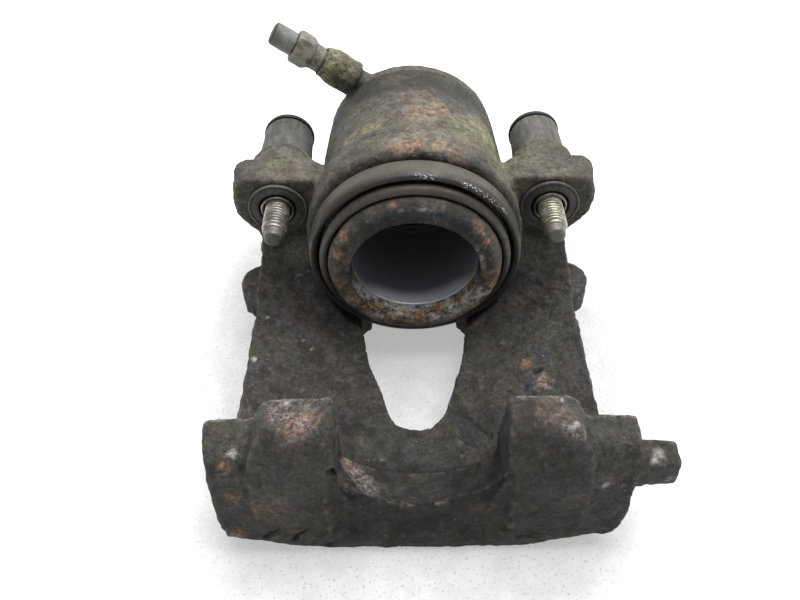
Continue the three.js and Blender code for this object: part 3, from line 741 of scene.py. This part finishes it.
# Rusty scabs on the piston's rim, as spots measured from its open face
RIM_SPOTS = [
    (-20, 0, -12, 3.5, 0.7), (-15, 0, -17, 5, 0.9), (22.5, 0, -9, 5, 1.0), (19, 0, -14, 6, 1.0),
    (14, 0, -19.5, 6, 1.0), (-9, 0, -21.5, 6, 1.0), (0, 0, -22, 6, 0.9), (8, 0, -22, 6, 1.0),
]
RUSTY_SPOTS = [
    (-21.5, 1.5, 14.5, 2.6, 1.0), (18.5, 1, 17.5, 3.0, 1.0), (-23.5, 1, 8, 3.0, 0.8),
    (-23.5, 0, -4, 3.5, 0.8), (24, 1, -1, 3.5, 0.9), (24.5, 0.5, -6, 4, 1.0), (-21, 0, -10, 4, 0.9),
    (21, 0, 12, 2.5, 0.7), (4, 1, 24.5, 2.5, 0.3),
]
# Worn, bluish places of the rim
BARE_SPOTS = [(-6, 0, 22.5, 8, 0.9), (5, 0, 22.5, 8, 1.0), (14, 0, 17, 7, 0.7), (19.5, 0, 11, 5, 1.0),
              (0, 0, -23.5, 16, 0.7)]


def piston():
    r, length = PISTON_RADIUS, PISTON_LENGTH
    profile = [(0, CUP_DEPTH), (19.6, CUP_DEPTH, 3.5), (19.6, 6.2, 0.25), (20, 5.6, 0.3), (19.95, 0.35, 0.3),
               (20.3, 0, 0.2), (r - 2.8, 0, 0.7), (r - 1.6, 0.8, 0.9), (r - 0.5, 2.1, 0.9), (r, 3.6, 0.8),
               (r, 4.4), (r - 1.4, 4.8), (r - 1.4, 7.2), (r, 7.6), (r, length - 2, 0.4),
               (r - 2, length, 0.4), (0, length)]

    def bumps(co):
        rim = (1 - ramp(co[:, 1], 4.0, 6.2))
        scabs = blobs(co, RIM_SPOTS) * ramp(noise(co, 1.6, 75), -0.2, 0.4)
        rough = 0.10 * fractal(co, 3.2, 3, 71) - 0.20 * ramp(noise(co, 2.2, 73), 0.35, 0.8)
        return rim * (rough - 0.16 * scabs) - 0.03

    mesh = lathe("piston_body", profile, 192, 0.5, 0.3, matrix=shift(y=PISTON_FACE), bumps=bumps)
    co = to_bore(coordinates(mesh)) - np.array([0, PISTON_FACE, 0])
    x, y, z = co.T
    radial = np.hypot(x, z)
    side = z / np.maximum(radial, 0.01)
    wall = 1 - ramp(radial, 20.15, 20.5)
    set_mask(mesh, "rim", 1 - wall * ramp(y, 5.4, 6.2))
    # this mask grows inwards and towards the top for painted shade, leaving a painted reflection low near the
    # mouth; the end mask paints the cup's end black as shade
    set_mask(mesh, "deep_shade", (ramp(y, 5.5, 26) + 0.22 * (1 - ramp(-side + 0.1 * x / 20, 0.35, 0.9))) * wall)
    set_mask(mesh, "end", ramp(y, CUP_DEPTH - 2, CUP_DEPTH - 0.6) * wall)
    ring = wall * ramp(y, 0.2, 0.8) * (1 - ramp(y, 5.2, 6.0))
    # painted highlights: streaks along the lower inner crease, glints on the face's outer edge at the top and
    # on the inner edge at the right
    crease = peak(y - 6.4, 0.5) * wall
    glint = (0.8 * peak(radial - 24.9, 0.35) * ramp(x, -6, -4) * (1 - ramp(x, 3, 6))
             * ramp(z, 20, 23))
    glint += 0.5 * peak(y - 4.2, 1.3) * wall * ramp(-side, 0.35, 0.8) * (1 - ramp(x, -2, 6))
    glint += peak(radial - 20.8, 0.6) * blobs(co, [(20, 0, 6, 6, 1.0)])
    set_mask(mesh, "lip", np.clip(0.8 * crease * ramp(-side, 0.2, 0.8) + glint, 0, 1)
             * (0.8 + 0.6 * fractal(co, 4, 2, 77)))
    outer = ramp(radial, 21.8, 23.4) * ramp(-side, 0.4, 0.8)
    scabs = patches(co, RIM_SPOTS, 0.85, 2.5, 78) * (1 - 0.5 * outer)
    set_mask(mesh, "worn", np.maximum(scabs, ring * ramp(-side, 0.0, 0.7)))
    set_mask(mesh, "rusty", patches(co, RUSTY_SPOTS, 0.85, 2.5, 76) * (1 - wall))
    set_mask(mesh, "bare", patches(co, BARE_SPOTS, 0.9, 4, 79, 0.4) * (1 - ramp(y, 0.2, 1.6)) * (1 - wall))
    # painted shade: inside the mouth at the top, the lower chamfer, the rim's lower outer edge, the top of
    # the rim and the part inside the boot
    shade = np.maximum.reduce([
        0.9 * wall * ramp(y, 0.1, 0.6) * (1 - ramp(y, 6, 8)) * ramp(side, -0.35, 0.1),
        0.55 * (1 - wall) * ramp(y, 0.5, 2.0) * ramp(-side, 0.3, 0.9),
        0.62 * (1 - wall) * ramp(-side, 0.84, 0.95) * ramp(radial + 0.6 * noise(co, 2.5, 84), 21.4, 22.8),
        0.74 * (1 - wall) * ramp(side, 0.5, 0.85) * (1 - 0.5 * ramp(noise(co, 5, 82), -0.1, 0.5)),
        ramp(y, 3.0, 3.9) * (1 - wall)])
    set_mask(mesh, "painted_shade", shade)
    set_mask(mesh, "pink", blobs(co + 0.3 * noise(co, 0.9, 80)[:, None],
                                 [(-6.6, 1.7, 26.0, 2.0, 1.0), (21.5, 1, 12.5, 0.7, 0.6),
                                  (20.2, 1, 15.2, 0.6, 0.7), (-22.6, 0.6, 9, 0.6, 0.5)]))
    new_piece("piston_body", mesh, piston_material(), "piston", ["piston"])


def seal():
    low, high = (to_bore(c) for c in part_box("piston_seal"))
    inner, outer = PISTON_RADIUS + 0.3, (high[0] - low[0]) / 2
    profile = [(inner, low[1]), (outer, low[1]), (outer, high[1]), (inner, high[1])]
    mesh = lathe("piston_seal_ring", profile, 128, 0.8, 0.3, loop=True)
    empty_masks(mesh, "dust", "hollow_shade")
    material = rubber_material("seal_rubber_black", (0.016, 0.016, 0.016), (0.026, 0.026, 0.025))
    new_piece("piston_seal_ring", mesh, material, "housing", ["piston_seal"])


def boot():
    lip = PISTON_RADIUS + 0.3
    profile = [(lip, -2.2, 0.5), (28.2, -2.45, 0.6), (29.4, -1.7, 0.9), (29.9, -0.4, 0.7), (29.6, 1.2, 0.4),
               (29.2, 2.6, 0.2), (29.9, 2.8, 0.2), (30.5, 0.6, 0.6), (31.4, -0.45, 0.7), (32.6, -0.2, 0.9),
               (33.2, 1.6, 1.4), (33.15, 6.6, 1.0), (32.2, 8.15, 0.6), (29.2, 8.2, 0.2), (29.2, 12.2, 0.3),
               (lip + 0.3, 12.2, 0.3), (lip + 0.3, 3.1), (lip, 2.5)]

    def bumps(co):
        return 0.07 * fractal(co, 6, 2, 81) + 0.03 * noise(co, 1.8, 83) - 0.04

    mesh = lathe("dust_boot_bellows", profile, 192, 0.35, 0.3, loop=True, bumps=bumps)
    co = to_bore(coordinates(mesh))
    x, y, z = co.T
    radial = np.hypot(x, z)
    up = z / radial
    outer = ramp(radial, 31.0, 32.4)
    dust = outer * ramp(y, 0.6, 3.4) * ramp(up, 0.15, 0.9)
    dust = np.maximum(dust, 0.10 * (1 - ramp(radial, 30, 30.4)) * (1 - ramp(y, -0.6, 0.8))
                      * ramp(up, 0.1, 0.9))
    set_mask(mesh, "dust", dust + 0.10 * ramp(up, 0.2, 1))
    # painted shade between the folds and on the front of the outer band's underside
    gap = (1 - ramp(y, 6, 8)) * ramp(y, -0.4, 1.0) * peak(radial - 30.1, 0.75)
    inner = outer * (1 - ramp(y, 0.2, 2.2)) * 0.55
    set_mask(mesh, "hollow_shade", np.maximum(gap, inner))
    # painted glints along the crest of the outer band
    turn = np.degrees(np.arctan2(x, z))
    painted_glints = (ramp(turn, -1, 2) * (1 - ramp(turn, 9, 12)) + ramp(turn, 22, 26) * (1 - ramp(turn, 52, 58)))
    set_mask(mesh, "painted_glints", painted_glints * peak(y - 0.1, 0.48) * ramp(radial, 31.3, 31.8))
    material = rubber_material("boot_rubber_dusty", (0.026, 0.0215, 0.018), (0.039, 0.032, 0.027), 9,
                               (0.42, 0.62), dust=(0.070, 0.062, 0.047), painted_glints=True)
    piece = new_piece("dust_boot_bellows", mesh, material, None, ["dust_boot"])
    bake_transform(piece)


# ---------- Guide pins ----------
def bush(side_name, material):
    matrix = pin_matrix(side_name)
    profile = [(6.1, 18.15, 0.3), (7.0, 18.0, 0.3), (8.5, 18.35, 0.3), (9.0, 18.2, 0.2), (9.5, 18.3, 0.3),
               (9.55, 19.15, 0.2), (8.0, 19.2, 0.1), (8.0, 41.3, 0.1), (9.05, 41.35, 0.3), (9.1, 44, 1.0),
               (8.75, 52, 1.0), (8.65, 58.25, 0.4), (6.9, 58.25, 0.2), (6.9, 37, 0.3), (5.75, 36, 0.2),
               (5.75, 20, 0.2), (6.1, 19.4, 0.2)]

    def bumps(co):
        return 0.05 * fractal(co, 5, 2, 91) * ramp(co[:, 1], 43, 46) - 0.02

    mesh = lathe(f"{side_name}_bush_rubber", profile, 96, 0.7, 0.3, matrix, loop=True, bumps=bumps)
    co = to_bore(coordinates(mesh)) - matrix[:3, 3]
    radial = np.hypot(co[:, 0], co[:, 2])
    set_mask(mesh, "dust", ramp(co[:, 2] / radial, -0.2, 0.9) * ramp(co[:, 1], 30, 42) * 0.6
             + peak(radial - 9.3, 0.22) * (1 - ramp(co[:, 1], 18.6, 19.2)) * 0.9)
    # painted shade in the groove at the bush's front
    set_mask(mesh, "hollow_shade", peak(radial - 8.6, 0.2) * (1 - ramp(co[:, 1], 18.8, 19.3)) * 0.8)
    new_piece(f"{side_name}_bush_rubber", mesh, material, "housing",
              [f"{side_name}_guide_bush"])


def sleeve(side_name, material):
    low, high = (to_bore(c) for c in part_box(f"{side_name}_guide_sleeve"))
    outer = (high[0] - low[0]) / 2
    profile = [(4.5, low[1] + 0.4), (4.9, low[1]), (outer - 0.35, low[1]), (outer, low[1] + 0.35),
               (outer, high[1] - 0.35), (outer - 0.35, high[1]), (4.9, high[1]), (4.5, high[1] - 0.4)]
    mesh = lathe(f"{side_name}_sleeve_tube", profile, 80, 1.0, 0.08, pin_matrix(side_name), loop=True)
    empty_masks(mesh, "hollow_shade")
    new_piece(f"{side_name}_sleeve_tube", mesh, material, f"{side_name}_sleeve",
              [f"{side_name}_guide_sleeve"])


# M8 guide bolt
THREAD_PITCH = 1.25
THREAD_RADIUS, THREAD_ROOT = 4.0, 3.36
SOCKET_ACROSS = 7.0


def bolt(side_name, material):
    low, high = (to_bore(c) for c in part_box(f"{side_name}_guide_bolt"))
    tip, end = low[1], high[1]
    segments = 64
    heights, radii, threaded = [], [], []

    def add(radius, height, has_thread=0.0):
        radii.append(radius)
        heights.append(height)
        threaded.append(has_thread)

    # dog point, then the thread, the shank and the head with its hexagon socket
    for radius, height in ((0.05, tip), (1.4, tip), (2.35, tip + 0.02), (2.75, tip + 0.3),
                           (2.85, tip + 0.8), (2.9, tip + 2.4), (2.95, tip + 3.2)):
        add(radius, height)
    thread_start, thread_end = tip + 3.4, tip + 21
    rows = int((thread_end - thread_start) / 0.1)
    for i in range(rows + 1):
        height = thread_start + (thread_end - thread_start) * i / rows
        fade = (ramp(height, thread_start, thread_start + 1.2)
                * (1 - ramp(height, thread_end - 1.5, thread_end)))
        add(THREAD_ROOT, height, float(fade))
    head_start = end - 5.2
    shank = THREAD_RADIUS - 0.05
    for radius, height in ((shank, thread_end + 0.3), (shank, head_start - 0.02), (6.2, head_start),
                           (6.25, head_start + 0.1), (6.25, end - 0.7), (5.7, end - 0.02), (4.6, end)):
        add(radius, height)
    grid = turned_points(list(zip(radii, heights)), segments)
    angle = np.arange(segments) / segments
    height = np.array(heights)[:, None]
    phase = (height / THREAD_PITCH - angle[None, :]) % 1.0
    wave = np.clip(1.25 - 2.9 * np.abs(phase - 0.5), 0, 1)
    gain = np.array(threaded)[:, None] * wave * (THREAD_RADIUS - THREAD_ROOT)
    scale = 1 + gain / np.array(radii)[:, None]
    grid[..., 0] *= scale
    grid[..., 2] *= scale
    # hexagon socket: two more rings and a floor
    turn = angle * 2 * math.pi
    socket = hexagon(SOCKET_ACROSS / 2, turn)
    rings = [np.stack([socket * k * np.cos(turn), 0 * angle + h, socket * k * np.sin(turn)], -1)
             for k, h in ((1.06, end - 0.05), (1.0, end - 0.4), (1.0, end - 3.5), (0.5, end - 3.6))]
    grid = np.concatenate([grid, np.array(rings)])
    mesh = outward(grid_mesh(f"{side_name}_bolt_m8", grid, True, True, False))
    co = coordinates(mesh)
    radial = np.hypot(co[:, 0], co[:, 2])
    in_thread = (ramp(co[:, 1], thread_start, thread_start + 0.6)
                 * (1 - ramp(co[:, 1], thread_end - 1, thread_end)))
    root = (1 - ramp(radial, THREAD_ROOT + 0.05, THREAD_ROOT + 0.5)) * in_thread
    matrix = pin_matrix(side_name)
    place_vertices(mesh, to_row(co + matrix[:3, 3]))
    # painted shade in the thread's roots; the dog point painted darker and less metallic
    set_mask(mesh, "hollow_shade", np.maximum(root * 0.75, 0.92 * (1 - ramp(co[:, 1], tip + 2.8, tip + 4.4))))
    new_piece(f"{side_name}_bolt_m8", mesh, material, f"{side_name}_bolt",
              [f"{side_name}_guide_bolt"], 50)


def cap(side_name, material):
    low, high = (to_bore(c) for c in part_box(f"{side_name}_guide_cap"))
    end = high[1]
    plug, rim = 6.55, (high[0] - low[0]) / 2
    profile = [(0, low[1] + 0.02), (plug, low[1] + 0.02, 0.4), (plug, end - 2.55, 0.1),
               (rim - 0.03, end - 2.55, 0.3), (rim - 0.03, end - 0.9, 0.6), (rim - 1.0, end - 0.06, 0.5),
               (5.6, end - 0.04, 0.3), (5.2, end - 0.6, 0.3), (0, end - 0.65)]
    mesh = lathe(f"{side_name}_cap_black", profile, 96, 0.7, 0.3, pin_matrix(side_name))
    empty_masks(mesh, "dust", "hollow_shade")
    new_piece(f"{side_name}_cap_black", mesh, material, f"{side_name}_cap",
              [f"{side_name}_guide_cap"])


# ---------- Bleed screw ----------
BLEED_HEX = (40.3, 47.6)  # where its hexagon starts and ends
BLEED_ACROSS = 10.0


def bleeder(material, rubber):
    matrix = bleeder_matrix()
    start, end = BLEED_HEX
    segments = 72
    angle = np.arange(segments) * 2 * math.pi / segments
    flats = hexagon(BLEED_ACROSS / 2, angle)
    rows = []

    def turned(profile, step):
        rows.extend((radius + 0 * angle, height) for radius, height in dense(profile, step))

    # shank in the casting, collar, hexagon, then the nipple with its blind hole
    turned([(0.9, 26.05), (1.2, 26.05), (3.7, 28.6), (3.75, 37.2)], 0.6)
    turned([(4.45, 37.35), (4.4, 39.4), (4.5, 40.4)], 0.5)
    for height in np.linspace(start + 0.2, end, 22):
        cone = 4.35 + (height - start) * 0.62
        top = 5.75 - max(0.0, height - end + 0.7) * 0.9
        rows.append((np.minimum(np.minimum(flats, cone), top), height))
    turned([(4.3, end + 0.02), (2.6, end + 0.02), (2.35, end + 1.6), (2.9, end + 3.4), (2.6, end + 4.6),
            (2.35, end + 5.85), (0.95, end + 5.88), (0.9, end + 2)], 0.6)
    grid = np.array([[(r * math.cos(a), height, r * math.sin(a)) for r, a in zip(radii, angle)]
                     for radii, height in rows])
    mesh = outward(grid_mesh("bleeder_screw_hex", grid, True, True, False))
    co = coordinates(mesh)
    co = co + normals(mesh) * (0.05 * fractal(co, 3, 2, 95))[:, None] * ramp(co[:, 1], 37.4, 38.5)[:, None]
    # painted shade in the crease at the collar
    set_mask(mesh, "hollow_shade", peak(co[:, 1] - 37.4, 0.3) * 0.8)
    place_vertices(mesh, to_row(co @ matrix[:3, :3].T + matrix[:3, 3]))
    new_piece("bleeder_screw_hex", mesh, material, "bleeder_screw", ["bleeder_screw"])

    top = 55.85
    profile = [(0, top - 2), (3.3, top - 2), (3.3, end + 0.34), (4.05, end + 0.32, 0.3),
               (4.1, end + 3, 0.5), (3.95, top - 0.95, 0.6), (3.3, top, 0.7), (0, top)]

    def bumps(co):
        return 0.05 * fractal(co, 3, 2, 97) - 0.05

    mesh = lathe("bleeder_cap_rubber", profile, 72, 0.5, 0.2, matrix, bumps=bumps)
    along = (to_bore(coordinates(mesh)) - matrix[:3, 3]) @ matrix[:3, 1]
    set_mask(mesh, "dust", 0.5 * (1 - ramp(along, 51, 55)))
    # the cap's end painted darker
    set_mask(mesh, "hollow_shade", 0.75 * ramp(along, 54.8, 55.6))
    new_piece("bleeder_cap_rubber", mesh, rubber, "bleeder_cap", ["bleeder_cap"])


housing()
piston()
seal()
boot()
bush_material = rubber_material("bush_rubber_dusty", (0.036, 0.033, 0.029), (0.053, 0.049, 0.044), 6,
                                (0.6, 0.85), (1, 0.15, 1))
sleeve_material = steel_material("sleeve_steel_satin", (0.14, 0.135, 0.12), (0.26, 0.25, 0.23))
cap_material = rubber_material("cap_black_matte", (0.014, 0.015, 0.014), (0.024, 0.025, 0.023), 5, (0.4, 0.6))
bolt_materials = {
    "left": steel_material("bolt_zinc_grey", (0.24, 0.22, 0.19), (0.48, 0.44, 0.40)),
    "right": steel_material("bolt_zinc_yellow", (0.32, 0.30, 0.22), (0.60, 0.57, 0.46)),
}
for side_name in SIDES:
    bush(side_name, bush_material)
    sleeve(side_name, sleeve_material)
    bolt(side_name, bolt_materials[side_name])
    cap(side_name, cap_material)
bleeder(steel_material("bleeder_steel_dirty", (0.115, 0.105, 0.078), (0.20, 0.19, 0.16), 0.3, (0.5, 0.75)),
        rubber_material("bleeder_cap_rubber_grey", (0.072, 0.075, 0.066), (0.11, 0.114, 0.100), 4,
                        (0.55, 0.8)))


# ---------- Floor, light and camera ----------
FLOOR_GAP = 0.0002


def floor():
    size, cells = 1.6, 100
    grid = np.linspace(-size / 2, size / 2, cells + 1)
    vertices = [(x, y, 0.0) for y in grid for x in grid]
    row = cells + 1
    faces = [(j * row + i, j * row + i + 1, (j + 1) * row + i + 1, (j + 1) * row + i)
             for j in range(cells) for i in range(cells)]
    mesh = bpy.data.meshes.new("floor")
    mesh.from_pydata(vertices, [], faces)
    # the floor glows evenly, painted light that lifts the shadows under the caliper
    p = Paint("floor_pale_glowing", Emission_Color=(1, 1, 1, 1), Emission_Strength=0.42)
    # near the caliper the floor is painted darker and speckled, as painted shade
    worn = p.mix(p.span(p.noise(9, 4, 0.65), 0.38, 0.62), (0.25, 0.262, 0.255), (0.31, 0.32, 0.312))
    worn = p.mix(p.span(p.noise(0.9, 2, 0.6), 0.58, 0.68, 0, 0.8), worn, (0.05, 0.05, 0.045))
    set_mask(mesh, "near_shade", 1 - ramp(np.linalg.norm(np.array(vertices)[:, :2] / (0.08, 0.125), axis=1), 0.85,
                                    1.3))
    mesh.materials.append(p.finish(p.mix(p.mask("near_shade"), (0.80, 0.81, 0.80), worn), 0.85))
    plane = bpy.data.objects.new("floor", mesh)
    plane.location = (0, BORE[1], -FLOOR_GAP)
    bpy.context.scene.collection.objects.link(plane)


def area_light(name, location, target, size, energy):
    light = bpy.data.lights.new(name, "AREA")
    light.shape = "DISK"
    light.size = size
    light.energy = energy
    lamp = bpy.data.objects.new(name, light)
    lamp.location = location
    lamp.rotation_euler = (Vector(target) - Vector(location)).to_track_quat("-Z", "Y").to_euler()
    bpy.context.scene.collection.objects.link(lamp)


def stage():
    floor()
    centre = (0, BORE[1], 0.03)
    area_light("key", (0.18, 0.30, 1.0), centre, 1.1, 22)
    world = bpy.data.worlds.new("soft_white")
    bpy.context.scene.world = world
    world.use_nodes = True
    tree = world.node_tree
    background = tree.nodes["Background"]
    background.inputs["Color"].default_value = (0.95, 0.98, 1.0, 1)
    direction = tree.nodes.new("ShaderNodeTexCoord").outputs["Generated"]
    split = tree.nodes.new("ShaderNodeSeparateXYZ")
    tree.links.new(direction, split.inputs[0])
    span = tree.nodes.new("ShaderNodeMapRange")
    tree.links.new(split.outputs["Y"], span.inputs["Value"])
    for key, number in (("From Min", -0.8), ("From Max", 0.8), ("To Min", 0.38), ("To Max", 0.85)):
        span.inputs[key].default_value = number
    tree.links.new(span.outputs["Result"], background.inputs["Strength"])
    bpy.context.scene.view_settings.view_transform = "Standard"


def camera():
    """Looks down on the caliper at 46.5 degrees, from the side of the fingers."""
    data = bpy.data.cameras.new("camera")
    data.sensor_width = 36
    data.lens = 33.3
    data.clip_start = 0.01
    eye = bpy.data.objects.new("camera", data)
    right = Vector((0.99991431, -0.00737984, -0.0108122))
    up = Vector((0.01279572, 0.72534209, 0.68826966))
    forward = Vector((-0.00276322, 0.68834903, -0.72537437))
    turn = Matrix((right, up, -forward)).transposed()
    place = Vector((-0.00415925, -0.10194913, 0.20107258))
    eye.matrix_world = Matrix.Translation(place) @ turn.to_4x4()
    bpy.context.scene.collection.objects.link(eye)
    bpy.context.scene.camera = eye


stage()
camera()
